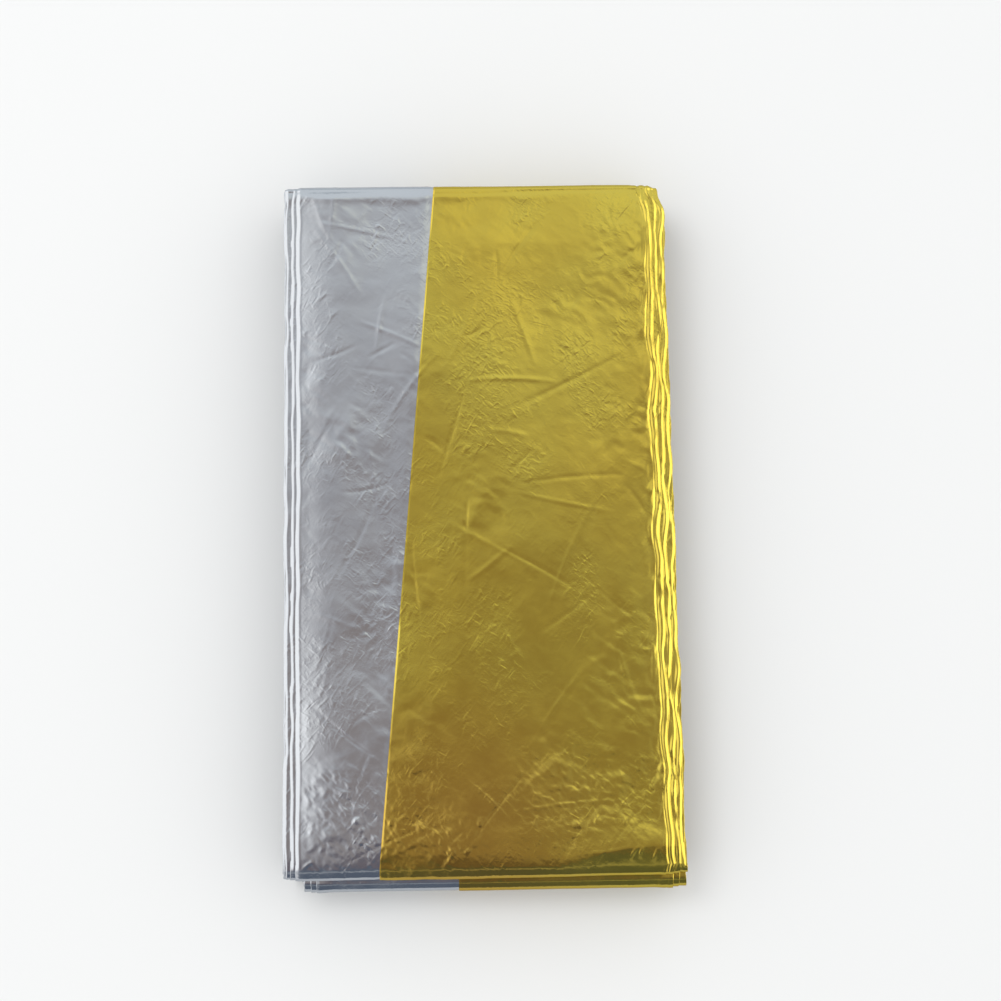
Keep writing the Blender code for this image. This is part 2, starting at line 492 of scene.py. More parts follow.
# The finest crinkles, drawn two or three times coarser than real so that they show
fineCrinkles = (
    {"size": 1.3, "stretch": 2.6, "turn": 35, "height": 0.050},
    {"size": 0.9, "stretch": 2.2, "turn": -48, "height": 0.035},
    {"size": 0.5, "stretch": 1.5, "turn": 80, "height": 0.012},
)
finePatches = {"size": 12.0, "calmBelow": 0.42, "fullAbove": 0.60, "calm": 0.20}


def makeFilm(name, light, deep, edge, paintedReflection=None):
    material = bpy.data.materials.new(name)
    material.use_nodes = True
    tree = material.node_tree
    shader = tree.nodes["Principled BSDF"]
    where = addNode(tree, "ShaderNodeTexCoord").outputs["Object"]

    tone = addNode(tree, "ShaderNodeTexNoise", {}, {
        "Vector": where, "Scale": 1 / (filmFinish["toneSize"] * mm), "Detail": 2.0})
    colour = addNode(tree, "ShaderNodeMix", {"data_type": "RGBA"}, {
        0: tone.outputs[0], 6: linear(deep), 7: linear(light)})

    # painted reflection: round one place near the near fold the gold turns warmer and duller, for the warm
    # light it mirrors there
    if paintedReflection:
        away = addNode(tree, "ShaderNodeVectorMath", {"operation": "DISTANCE"}, {
            0: where, 1: [value * mm for value in filmFinish["paintedReflectionPlace"]]})
        nearest, furthest = (value * mm for value in filmFinish["paintedReflectionRadius"])
        share = addNode(tree, "ShaderNodeMapRange", {"interpolation_type": "SMOOTHSTEP"}, {
            "Value": away.outputs["Value"], "From Min": nearest, "From Max": furthest,
            "To Min": 1.0, "To Max": 0.0})
        colour = addNode(tree, "ShaderNodeMix", {"data_type": "RGBA"}, {
            0: share.outputs["Result"], 6: colour.outputs[2], 7: linear(paintedReflection)})

    haze = addNode(tree, "ShaderNodeTexNoise", {}, {
        "Vector": where, "Scale": 1 / (filmFinish["hazeSize"] * mm), "Detail": 5.0, "Roughness": 0.65})
    rough = addNode(tree, "ShaderNodeMapRange", {}, {
        "Value": haze.outputs[0],
        "From Min": filmFinish["hazeFrom"][0], "From Max": filmFinish["hazeFrom"][1],
        "To Min": filmFinish["roughness"][0], "To Max": filmFinish["roughness"][1]})

    height = 0.0
    for layer in fineCrinkles:
        scale = 1 / (layer["size"] * mm)
        turned = addNode(tree, "ShaderNodeMapping", {}, {
            "Vector": where, "Rotation": (0.0, 0.0, math.radians(layer["turn"]))})
        drawn = addNode(tree, "ShaderNodeMapping", {}, {
            "Vector": turned.outputs[0], "Scale": (scale, scale / layer["stretch"], scale)})
        ridged = {"noise_type": "RIDGED_MULTIFRACTAL", "normalize": True}
        ridges = addNode(tree, "ShaderNodeTexNoise", ridged, {
            "Vector": drawn.outputs[0], "Scale": 1.0, "Detail": 1.0, "Roughness": 0.4, "Distortion": 0.6})
        height = addNode(tree, "ShaderNodeMath", {"operation": "MULTIPLY_ADD"}, {
            0: ridges.outputs[0], 1: layer["height"], 2: height}).outputs[0]
    patches = addNode(tree, "ShaderNodeTexNoise", {}, {
        "Vector": where, "Scale": 1 / (finePatches["size"] * mm), "Detail": 2.0})
    share = addNode(tree, "ShaderNodeMapRange", {"interpolation_type": "SMOOTHSTEP"}, {
        "Value": patches.outputs[0],
        "From Min": finePatches["calmBelow"], "From Max": finePatches["fullAbove"],
        "To Min": finePatches["calm"], "To Max": 1.0})
    masked = addNode(tree, "ShaderNodeMath", {"operation": "MULTIPLY"}, {0: height, 1: share.outputs[0]})
    bump = addNode(tree, "ShaderNodeBump", {}, {
        "Height": masked.outputs[0], "Distance": mm, "Strength": 1.0})

    tree.links.new(colour.outputs[2], shader.inputs["Base Color"])
    tree.links.new(rough.outputs[0], shader.inputs["Roughness"])
    tree.links.new(bump.outputs["Normal"], shader.inputs["Normal"])
    shader.inputs["Metallic"].default_value = 1.0
    shader.inputs["Specular Tint"].default_value = linear(edge)
    shader.inputs["Coat Weight"].default_value = filmFinish["coat"]
    shader.inputs["Coat Roughness"].default_value = filmFinish["coatRoughness"]
    return material


gold, silver = 0, 1
goldFilm = makeFilm(
    "gold_lacquered_film", filmFinish["goldLight"], filmFinish["goldDeep"], filmFinish["goldEdge"],
    filmFinish["goldPaintedReflection"])
silverFilm = makeFilm(
    "bare_metallised_film", filmFinish["silverLight"], filmFinish["silverDeep"], filmFinish["silverEdge"])
filmSides = (goldFilm, silverFilm)
print("materials made")


# Pleats and their folded edges

# Heights of the plies above the middle of their layer, the part pleat first. The outer ones stand
# further apart, as they spring up.
plyHeights = (0.50, 0.34, 0.22, 0.12, 0.04, -0.03, -0.09, -0.14, -0.19,
              -0.23, -0.27, -0.31, -0.35, -0.39, -0.43, -0.47, -0.51)

edgeSet = {
    "lipWidth": 1.3,           # the outer pleats stop short of the ones under them
    "lips": 2,
    "behind": 0.18,            # and the ones below stand back from the outermost
    "crumple": 0.45,           # the right-hand edges are crumpled
    "crumpleWaves": ((23.0, 0.3), (14.5, 1.9)),
    "crumpleLag": 1.7,
    "ragged": 0.20,            # how unevenly the pleats' folds lie
    "raggedSize": 5.0,
    "raggedShift": 9.7,        # from one pleat's fold to the next, so that no two lie alike
    "flutter": 0.07,           # how far they wave up and down
    "flutterSize": 4.5,
    "flutterShift": 5.3,
    "gather": (0.4, 3.0),      # the right-hand lips run together at the near corner: share, length
    "tuck": (1.5, 3.0),        # the right-hand edges are pushed in at the far corner: how far, length
    "kinks": (0.35, 5.0),      # all edges are kinked at the far corners: how far, length
    "kinkSize": 2.2,
    "depth": 3.2,              # how much of each pleat is drawn with its fold
    "flatTo": 0.3,             # and how near to the fold it stays flat
    "sink": 0.06,              # how far its upper ply goes down under the ones above
    "follow": 0.1,             # each lower pleat follows the top face by this share less
    "rowStep": 2.0,
    "bendSteps": 4,
    "reach": 1.6,              # a fold is this much longer than a half circle
    "setIn": 0.2,              # and lies this much of its radius further in
}
edgeFolds = sheet["pleats"] // 2


def crumpleAt(run, lip):
    lag = edgeSet["crumpleLag"] * lip
    waves = [np.sin(math.tau * run / length + phase + lag) for length, phase in edgeSet["crumpleWaves"]]
    return edgeSet["crumple"] * sum(waves) / len(waves)


def foldEdge(run, side, fold):
    # where across the strip one pleat's fold lies; fold 0 is the outermost
    lip = edgeSet["behind"] if fold > edgeSet["lips"] else edgeSet["lipWidth"] * (edgeSet["lips"] - fold)
    seed = 40 + fold + 20 * (side > 0)
    shift = 0 * run + edgeSet["raggedShift"] * fold
    ragged = edgeSet["ragged"] * softNoise(run, shift, edgeSet["raggedSize"], seed)
    fromFar = panelLength / 2 - along("y", run)
    far, length = edgeSet["kinks"]
    ragged = ragged + far * np.exp(-(fromFar / length) ** 2) * waver(run, edgeSet["kinkSize"], seed + 30)
    if side < 0:
        return along("left", run) + lip + ragged
    share, length = edgeSet["gather"]
    lip = lip * (1 - share * np.exp(-np.abs(run - layerRun[1][1]) / length))
    tuck, length = edgeSet["tuck"]
    tuck = tuck * np.exp(-(np.maximum(fromFar, 0) / length) ** 2)
    return along("right", run) - tuck - lip + crumpleAt(run, edgeSet["lips"] - fold) + ragged


def foldHeights(side, fold):
    first = 2 * fold + (side < 0)
    return plyHeights[first], plyHeights[first + 1]


def turnUnder(upper, lower):
    # a pleat's fold from its upper ply to its lower one: distances in from its edge, and heights
    radius = (upper - lower) / 2
    reach, setIn = radius * edgeSet["reach"], radius * edgeSet["setIn"]
    angles = [math.pi * step / edgeSet["bendSteps"] for step in range(edgeSet["bendSteps"] + 1)]
    insets = [reach * (1 - math.sin(angle)) + setIn for angle in angles]
    heights = [upper - radius + radius * math.cos(angle) for angle in angles]
    insets += [edgeSet["flatTo"], edgeSet["depth"]]
    heights += [lower, lower]
    return np.array([insets]), np.array([heights])


def foldGrid(run, side, fold):
    # one pleat's fold with a little of both its plies
    upper, lower = foldHeights(side, fold)
    insets, heights = turnUnder(upper, lower)
    insets = np.concatenate([[[edgeSet["depth"], edgeSet["flatTo"]]], insets], axis=1)
    heights = np.concatenate([[[upper - edgeSet["sink"], upper]], heights], axis=1)
    seed = 60 + fold + 20 * (side > 0)
    shift = 0 * run + edgeSet["flutterShift"] * fold
    flutter = edgeSet["flutter"] * softNoise(run, shift, edgeSet["flutterSize"], seed)
    x = foldEdge(run, side, fold) - side * insets
    fade = topSet["fade"]
    onTop = smoothStep(run, topFrom, topFrom + fade) * (1 - smoothStep(run, topTo - fade, topTo))
    share = 1 - edgeSet["follow"] * max(0, fold - edgeSet["lips"])
    points = place(run, x, heights + flutter + onTop * share * upperFace(x, run))
    return points if side > 0 else points[:, ::-1]


# Outer plies

# How the top layer is drawn: how far it goes on unseen under its folds, and the steps between its
# rows and columns, which lie closer at the closed end and near the near fold
topSet = {
    "hidden": 7.0,
    "fade": 3.0,           # the lower pleats follow its face up to this far from those ends
    "farStep": 0.36,
    "nearStep": 0.25,
    "nearLength": 24.0,
    "endStep": 0.2,
    "endLength": 4.0,
}
topFrom = layerRun[2][1] - topSet["hidden"]
topTo = layerRun[4][0] + topSet["hidden"]

# How the packet's upper face gives way towards its rims, in millimetres
faceShape = {
    "nearWave": (6.2, 2.2, 0.07),  # a low wave before the near fold: distance, length, height
    "nearFall": (3.5, 0.21),       # the film starts to fall this far before the near fold, and by this much
    "silverFall": (4.8, 0.29),     # and so it does on the silver side
    "silverTo": (-25.0, -19.0),
    "ridgeFrom": (15.0, 32.0),     # between these places across, a low ridge rises before that fold
    "ridgeOff": (1.0, 3.5),        # how far before the fold it lies, at its left and right
    "ridgeHeight": (-0.06, 0.36),  # at the fold, on the ridge
    "ridgeBack": (12.0, 6.5),      # and how far it slopes back behind its top, at its left and right
    "ridgeSteep": (27.0, 36.0),    # it grows steeper between these places across
    "nearRound": 1.8,              # how far round the near fold its slope goes on
    "farFall": (3.2, 0.11),
    "farRound": 1.2,
    # the crease at the closed end: how far before the fold it lies, at four places across
    "farCreaseAt": (-43.0, -12.0, -11.0, 36.0),
    "farCrease": (0.00, 0.00, 0.85, 0.00),
    "farCreaseShape": (0.60, 0.07),
    "farWave": (1.3, 1.2, 0.11),   # a low wave beside it on the silver side: distance, length, height
    "farWaveTo": (-12.0, 30.0),    # and where across it dies away
    "farSwell": (0.14, 12.0),      # the silver side stands fuller round the closed end: height, length
    "farSwellFrom": (-1.0, 1.5),   # and sets in between these distances from the free edge
    "farTilt": (0.020, 12.0),      # the gold side slopes away to the closed end: slope, length
    "farTiltFrom": 12.0,           # and most of all this far from the free edge
    "leftFall": (4.4, 0.095),      # width and slope of the fall to the left edge
    "leftFallAtNear": 0.25,        # the share of that width at the near fold
    "leftFallGrows": (-1.0, 13.0),
    "leftFallEnds": (-2.0, 0.5),   # it dies away as it goes round the closed end
    "leftBack": 16.0,
    "rightFall": (5.0, 0.16),
    "freeCurl": (0.36, 0.09),      # how the cut edge of the part pleat turns down: width, depth
    "curlLeast": 0.2,              # in places only by this share of that
    "curlPatch": (11.0, -0.3, 0.4),   # the length of those places, and the levels of their noise
    "curlAtNear": 0.25,            # and less at the near fold: share, and distances from the fold
    "curlNear": (4.5, 7.0),
    "rimCrease": (1.4, 0.4, 0.16),    # the crease inside the crumpled edge: distance, width, depth
    "rimWander": (0.3, 6.0),       # how far it strays, and over what length
    "shoulder": (0.85, 0.24),      # how a pleat rounds down to its fold: width, depth
    "shoulderFrom": -0.1,          # a little beyond its edge
    "crest": 0.035,                # and how high it swells before that
    "rollShoulder": 0.15,          # the share of both that is left where the pleats roll
    "rollFrom": {-1: (-0.1, 1.4), 1: (-1.8, 0.2)},   # and where that starts, at the left and right
}
quarterTurn = math.pi / 2 * layerPitch * 1.5

# How far the lines of that face stray from their place, over what length, and their noise
strays = {
    "ridge": (0.4, 9.0, 71),
    "farCrease": (0.1, 9.0, 72),
    "leftFall": (0.12, 6.0, 73),
    "nearWave": (0.7, 8.0, 74),
    "farWave": (0.4, 5.0, 75),
}


def stray(name, run):
    far, size, seed = strays[name]
    return far * waver(run, size, seed)


def fallAway(distance, width, depth):
    return -depth * np.clip(1 - distance / width, 0, 1) ** 2


def groove(distance, width, depth):
    return -depth * np.clip(1 - np.abs(distance) / width, 0, 1)


def nearRim(x, toNear):
    # the film falls before the near fold, on the right from a low ridge, and goes on round the fold
    onGold = smoothStep(x, *faceShape["silverTo"])
    goldWidth, goldDepth = faceShape["nearFall"]
    silverWidth, silverDepth = faceShape["silverFall"]
    width = silverWidth + (goldWidth - silverWidth) * onGold
    depth = silverDepth + (goldDepth - silverDepth) * onGold
    share = smoothStep(x, *faceShape["ridgeFrom"])
    left, right = faceShape["ridgeOff"]
    off = left + (right - left) * share + stray("ridge", x)
    foot, top = (share * height for height in faceShape["ridgeHeight"])
    before = np.maximum(toNear, 0)
    ramp = foot + (top - foot) * before / off
    left, right = faceShape["ridgeBack"]
    length = left + (right - left) * smoothStep(x, *faceShape["ridgeSteep"])
    back = top * (1 - smoothStep(before - off, 0.0, length))
    distance, length, rise = faceShape["nearWave"]
    wave = rise * np.exp(-((before - distance - stray("nearWave", x)) / length) ** 2)
    height = fallAway(before, width, depth) + np.where(before < off, ramp, back) + wave * (1 - share)
    past = np.maximum(-toNear, 0)
    slope = 2 * depth / width + (top - foot) / off
    height = height * (1 - smoothStep(past, 0.0, quarterTurn))
    return height - slope * past * (1 - smoothStep(past, 0.0, faceShape["nearRound"]))


def farRim(x, toFar):
    # the film falls to the closed end, with a crease and a low wave just before it
    crease = np.interp(x, faceShape["farCreaseAt"], faceShape["farCrease"]) + stray("farCrease", x)
    fall = fallAway(np.maximum(toFar, 0), *faceShape["farFall"])
    height = fall * (1 - smoothStep(-toFar, 0.0, faceShape["farRound"]))
    distance, length, rise = faceShape["farWave"]
    wave = rise * np.exp(-((toFar - distance - stray("farWave", x)) / length) ** 2)
    wave = wave * (1 - smoothStep(x, *faceShape["farWaveTo"]))
    return height + wave + groove(toFar - crease, *faceShape["farCreaseShape"])


def upperFace(x, run):
    # how the top layer lies towards its rims
    toNear = layerRun[1][1] - run
    toFar = run - layerRun[1][0]
    width, slope = faceShape["leftFall"]
    atNear = faceShape["leftFallAtNear"]
    width = width * (atNear + (1 - atNear) * smoothStep(toNear, *faceShape["leftFallGrows"]))
    width = width * (1 + stray("leftFall", run))
    fromLips = np.maximum(x - along("left", run) - edgeSet["lips"] * edgeSet["lipWidth"], 0)
    left = slope * width * (1 - np.exp(-fromLips / width))
    left = left * (1 - smoothStep(fromLips - width, 0.0, faceShape["leftBack"]))
    left = left * (1 - smoothStep(-toFar, *faceShape["leftFallEnds"]))
    right = fallAway(along("right", run) - x, *faceShape["rightFall"])
    return nearRim(x, toNear) + farRim(x, toFar) + left + right


def lipShape(inset, share):
    # how a pleat swells and then rounds down towards its fold
    width, depth = faceShape["shoulder"]
    crest = faceShape["crest"] * np.sin(math.pi * np.clip(inset / edgeSet["lipWidth"], 0, 1))
    return share * (crest - depth * (1 - smoothStep(inset, faceShape["shoulderFrom"], width)))


def lipShare(run, side, onTop):
    # that shape goes over into the rolled ends
    left = faceShape["rollShoulder"]
    if not onTop:
        return left
    return left + (1 - left) * smoothStep(layerRun[1][1] - run, *faceShape["rollFrom"][side])


def foldedUnder(run, side, fold, x, height):
    # adds the fold to a ply's grid, and puts its points in space, left to right
    upper, lower = foldHeights(side, fold)
    insets, heights = turnUnder(0.0, lower - upper)
    foldX = foldEdge(run, side, fold) - side * insets
    foldHeight = height[:, -1:] + heights
    points = place(run, np.concatenate([x, foldX], axis=1), np.concatenate([height, foldHeight], axis=1))
    return points if side > 0 else points[:, ::-1]


crumple = {
    "strands": {"height": 0.09, "size": 1.1, "turn": 6, "stretch": 4.0},
    "waves": {"height": 0.11, "size": 1.5, "stretch": 3.0},
    "kinks": {"height": 0.10, "size": 1.5, "turn": -25, "stretch": 1.5},
    "kinkPatch": (5.0, -0.5, 0.5),    # the length of kinked stretches, and the levels of their noise
}


def crumpled(x, run, seed):
    # long crumpled strands, as along an edge that was pushed in
    strand, wave, kink = crumple["strands"], crumple["waves"], crumple["kinks"]
    strands = facetNoise(x, run, strand["size"], seed, strand["turn"], strand["stretch"])
    waves = softNoise(x, run / wave["stretch"], wave["size"], seed + 2)
    kinks = facetNoise(x, run, kink["size"], seed + 4, kink["turn"], kink["stretch"])
    length, calm, full = crumple["kinkPatch"]
    kinks = kink["height"] * kinks * smoothStep(waver(run, length, seed + 6), calm, full)
    return strand["height"] * strands + wave["height"] * waves + kinks


# How the outer plies are drawn, by distances from the edge they end at
plySet = {
    "cutColumns": (0.0, 0.12, 0.25, 0.4, 0.6, 0.9),   # beside the free edge
    "foldColumn": 0.12,        # the column nearest to a fold
    "goldRim": (4.5, 0.24),    # the strip beside the fold that is drawn finer: width, step
    "silverRim": (1.4, 0.16),
    "goldCalm": (1.5, 4.0),    # the crinkles set in between these distances
    "silverCalm": (0.6, 3.0),
    "crumpled": (5.0, 1.0),    # and so do the right edge's strands
    "rollFall": (0.5, 4.0),    # and the fall before a roll
    "under": 4.0,              # how far the silver ply goes on under the gold one
    "underDrop": 0.14,         # it gives way there
    "underFrom": (-1.5, 1.5),
}


def goldPly(run, step, level, seed, rim=1.0, onTop=False, fall=0.0):
    # the part pleat, from its free edge to its fold over the right edge
    edge = foldEdge(run, +1, 0)
    free = along("freeEdge", run)
    upper = foldHeights(+1, 0)[0]
    rimWidth, rimStep = plySet["goldRim"]
    fromFree = np.array([plySet["cutColumns"]])
    middle = np.linspace(0, 1, int(round(float(np.mean(edge - free)) / step)))[None, 1:]
    insets = np.arange(rimWidth, plySet["foldColumn"], -min(rimStep, step))[None, 1:]
    start, end = free + fromFree[0, -1], edge - rimWidth
    x = np.concatenate([free + fromFree, start + (end - start) * middle, edge - insets], axis=1)
    fromRight, fromCut = edge - x, x - free
    height = upper + crinkle(x, run, seed, level, onTop) * smoothStep(fromRight, *plySet["goldCalm"])
    height = height + rim * smoothStep(fromRight, *plySet["crumpled"]) * crumpled(x, run, seed + 31)

    far, size = faceShape["rimWander"]
    distance, width, depth = faceShape["rimCrease"]
    height = height + groove(fromRight - distance - far * waver(run, size, seed + 35), width, rim * depth)

    size, calm, full = faceShape["curlPatch"]
    least, atNear = faceShape["curlLeast"], faceShape["curlAtNear"]
    width, depth = faceShape["freeCurl"]
    curl = depth * (least + (1 - least) * smoothStep(waver(run, size, seed + 8), calm, full))
    if onTop:
        curl = curl * (atNear + (1 - atNear) * smoothStep(layerRun[1][1] - run, *faceShape["curlNear"]))
    height = height - curl * (1 - smoothStep(fromCut, 0.0, width))
    height = height + lipShape(fromRight, lipShare(run, +1, onTop))
    if onTop:
        slope, length = faceShape["farTilt"]
        toFar = run - layerRun[1][0]
        tilt = slope * np.clip(length - toFar, 0, length)
        tilt = tilt * (1 - smoothStep(-toFar, 0.0, faceShape["farRound"]))
        height = height + upperFace(x, run) - tilt * smoothStep(fromCut, 0.0, faceShape["farTiltFrom"])
    return foldedUnder(run, +1, 0, x, height + fall * smoothStep(fromRight, *plySet["rollFall"]))


def silverPly(run, step, level, seed, onTop=False, fall=0.0):
    # the next pleat, silver side out, from its fold over the left edge to under the part pleat
    edge = foldEdge(run, -1, 0)
    free = along("freeEdge", run)
    upper = foldHeights(-1, 0)[0]
    rimWidth, rimStep = plySet["silverRim"]
    insets = np.arange(plySet["foldColumn"], rimWidth, min(rimStep, step))[None, :]
    end = free + plySet["under"]
    middle = np.linspace(0, 1, int(round(float(np.mean(end - edge)) / step)))[None, :]
    x = np.concatenate([edge + insets, edge + rimWidth + (end - edge - rimWidth) * middle], axis=1)
    fromLeft = x - edge
    height = upper + crinkle(x, run, seed, level, onTop) * smoothStep(fromLeft, *plySet["silverCalm"])
    height = height + lipShape(fromLeft, lipShare(run, -1, onTop))
    height = height - plySet["underDrop"] * smoothStep(x - free, *plySet["underFrom"])
    if onTop:
        swell, length = faceShape["farSwell"]
        swell = swell * smoothStep(layerRun[1][0] + length - run, 0.0, length)
        height = height + upperFace(x, run) + swell * smoothStep(free - x, *faceShape["farSwellFrom"])
    height = height + fall * smoothStep(fromLeft, *plySet["rollFall"])
    return foldedUnder(run, -1, 0, x[:, ::-1], height[:, ::-1])


lipSet = {
    "nearest": 0.1,            # the column nearest to the fold, and the step between columns
    "step": 0.2,
    "bareTo": (0.9, 1.4),      # between these distances from its fold a lip goes under the next
    "rise": 0.06,              # how far the right-hand ones stand up
    "bulge": 0.14,             # and how far the left-hand ones do round the closed end
    "bulgeFrom": (-1.0, 1.0),
    "uneven": (0.03, 2.5),     # height and size
}


def lipGrid(run, side, fold):
    # the visible lip of a lower pleat on the top layer: its fold and some of the ply above it
    insets = np.arange(edgeSet["depth"], lipSet["nearest"], -lipSet["step"])[None, :]
    x = foldEdge(run, side, fold) - side * insets
    outermost = side < 0 and fold == edgeSet["lips"]
    share = 1.0 if outermost else lipShare(run, side, True)
    height = foldHeights(side, fold)[0] + lipShape(insets, share) + upperFace(x, run)
    if side > 0:
        bare = 1 - smoothStep(insets, *lipSet["bareTo"])
        height = height + bare * (lipSet["rise"] + crumpled(x, run, 90 + fold))
    else:
        depth, size = lipSet["uneven"]
        bulge = lipSet["bulge"] * fold * smoothStep(layerRun[1][0] - run, *lipSet["bulgeFrom"])
        height = height + depth * softNoise(x, run, size, 80 + fold) + bulge
    return foldedUnder(run, side, fold, x, height)


def topRuns():
    # the rows of the far and of the near part of the top layer, with their folds
    far, near = layerRun[1]
    border = near - topSet["nearLength"]
    farEnd = far + topSet["endLength"]
    farSpans = (
        (topFrom, far, topSet["farStep"]),
        (far, farEnd, topSet["endStep"]),
        (farEnd, border, topSet["farStep"]),
    )
    farRun = np.unique(np.concatenate([runsBetween(*span) for span in farSpans]))[:, None]
    return farRun, runsBetween(border, topTo, topSet["nearStep"])


for part, run in zip(("far", "near"), topRuns()):
    step = topSet[part + "Step"]
    makePiece(f"top_gold_{part}", [(goldPly(run, step, 1.0, 3, 1.0, True), gold)])
    makePiece(f"top_silver_{part}", [(silverPly(run, step, 1.0, 4, True), silver)])
    makePiece(f"left_lips_{part}", [(lipGrid(run, -1, fold), silver) for fold in (1, 2)])
    makePiece(f"right_lips_{part}", [(lipGrid(run, +1, fold), gold) for fold in (1, 2)])

# The rolled folds between the layers, by the two layers that each joins
rolls = {
    "roll_near_upper": (5, 8),
    "roll_near_lower": (9, 12),
    "roll_far_upper": (3, 6),
    "roll_far_middle": (7, 10),
}
rollSet = {
    "rowStep": 0.5,
    "columnStep": 0.6,
    "overlap": 8.0,            # how far a roll goes on into the packet
    "level": 0.5,              # the share of the crinkles' height, and of the right edge's strands
    "rim": 0.2,
    "fall": (1.6, 0.16),       # the layers fall before they bend: length, depth
}


def rollSpan(layer, following):
    # where on the strip a roll begins, bends and ends
    start, end = sorted((layerRun[layer], layerRun[following]))
    return start[1] - rollSet["overlap"], start[1], end[0], end[0] + rollSet["overlap"]


for seed, (name, (layer, following)) in enumerate(rolls.items(), start=11):
    first, bendFrom, bendTo, last = rollSpan(layer, following)
    run = runsBetween(first, last, rollSet["rowStep"])
    fall = fallAway(np.maximum(np.maximum(bendFrom - run, run - bendTo), 0), *rollSet["fall"])
    drawn = (run, rollSet["columnStep"], rollSet["level"], seed)
    goldGrid = goldPly(*drawn, rim=rollSet["rim"], fall=fall)
    silverGrid = silverPly(*drawn, fall=fall)
    makePiece(name, [(goldGrid, gold), (silverGrid, silver)])

# The film on the packet's underside
underSet = {"rowStep": 0.9, "columnStep": 0.8, "level": 0.4, "rim": 0.4}
underTo = layerRun[11][0] + rollSet["overlap"]
drawn = (runsBetween(0.0, underTo, underSet["rowStep"], 2), underSet["columnStep"], underSet["level"], 17)
makePiece("under_film", [(goldPly(*drawn, rim=underSet["rim"]), gold), (silverPly(*drawn), silver)])


def bareSpans(covered):
    # what other pieces leave of the strip
    spans, start = [], 0.0
    for first, last in sorted(covered):
        if first > start:
            spans.append((start, first))
        start = max(start, last)
    return spans + [(start, pathRun[-1])]


def drawnSpans(fold):
    # where on the strip the pieces above draw a pleat's fold
    spans = [(topFrom, topTo)] if fold <= edgeSet["lips"] else []
    if fold == 0:
        spans += [(0.0, underTo)] + [rollSpan(*roll)[::3] for roll in rolls.values()]
    return spans


def edgePiece(name, side, face):
    # the folds of all the pleats along one side
    grids = []
    for fold in range(edgeFolds):
        for start, end in bareSpans(drawnSpans(fold)):
            run = runsBetween(start, end, edgeSet["rowStep"], 2)
            grids.append((foldGrid(run, side, fold), face))
    makePiece(name, grids)


edgePiece("left_edges", -1, silver)
edgePiece("right_edges", +1, gold)


# Cut ends

cutSet = {
    "step": 1.6,
    "back": (0.0, 0.01, 0.03, 0.08, 0.4, 3.0, 8.0),      # how far in from the cut each row lies
    "turned": (-0.06, -0.035, -0.012, 0.0, 0.0, 0.0, 0.0),   # the cut turns down a little
    "uneven": 0.45,        # how far the pleats' cuts lie before or behind one another
    "unevenSize": 13.0,
    "flutter": 0.05,
    "inset": 0.4,          # from the packet's sides
}


def cutEnds():
    # each pleat's own bit of the cut, at both ends of the strip
    grids = []
    back = np.array(cutSet["back"])[:, None]
    turned = np.array(cutSet["turned"])[:, None]
    for end, inwards in ((0.0, 1), (pathRun[-1], -1)):
        left = float(along("left", end)) + cutSet["inset"]
        right = float(along("right", end)) - cutSet["inset"]
        for ply, level in enumerate(plyHeights):
            start = float(along("freeEdge", end)) if ply == 0 else left
            x = np.arange(start, right, cutSet["step"])[None, :]
            behind = cutSet["uneven"] * (1 + waver(x, cutSet["unevenSize"], 110 + ply)) / 2
            flutter = cutSet["flutter"] * waver(x, cutSet["unevenSize"], 140 + ply)
            run = end + inwards * (back + behind)
            grids.append((place(run, x, level + turned + flutter), gold if ply % 2 == 0 else silver))
    return grids


makePiece("cut_ends", cutEnds())


# Inner film

innerSet = {
    "press": 0.45,         # the plies lie closer here than at the cut ends
    "pressTo": -0.20,      # and close in on this height
    "endSpread": 12.0,
    "level": -0.25,
    "topLevel": -0.20,     # and lower still in the top layer
    "inset": 2.8,          # its folds are drawn by the edge pieces
    "behind": 0.6,         # how far the part pleat's edge lies behind the one that shows
    "columns": 5,
    "step": 8.0,
}


def innerFilm():
    run = runsBetween(0.0, pathRun[-1], innerSet["step"], 2)
    endDistance = np.minimum(run, pathRun[-1] - run)
    press = innerSet["press"] + (1 - innerSet["press"]) * np.exp(-endDistance / innerSet["endSpread"])
    left = along("left", run) + innerSet["inset"]
    right = along("right", run) - innerSet["inset"]
    free = along("freeEdge", run)
    shares = np.linspace(0, 1, innerSet["columns"])[None, :]
    top = smoothStep(run, topFrom, layerRun[1][0]) * (1 - smoothStep(run, layerRun[1][1], topTo))
    xs, heights = [], []
    for ply in range(plies):
        start, end = (left, right) if ply % 2 == 0 else (right, left)
        if ply == 0:
            start = free + innerSet["behind"]
        xs.append(start + (end - start) * shares)
        pressed = press * (plyHeights[ply] - innerSet["pressTo"])
        level = innerSet["level"] + innerSet["topLevel"] * top + pressed
        heights.append(level + 0 * xs[-1])
    x, height = np.concatenate(xs, axis=1), np.concatenate(heights, axis=1)
    slots = [gold if column // innerSet["columns"] % 2 == 0 else silver for column in range(x.shape[1] - 1)]
    return place(run, x, height), np.array(slots)


inner = makePiece("inner_film", [innerFilm()])


# Floor and light

floorSet = {
    "size": 14.0,              # metres
    "drop": -0.05,             # just under the packet
    "colour": "#E9EAEA",
    "mirrored": "#AEB1B5",     # as the film mirrors it, in the packet's own shade
}


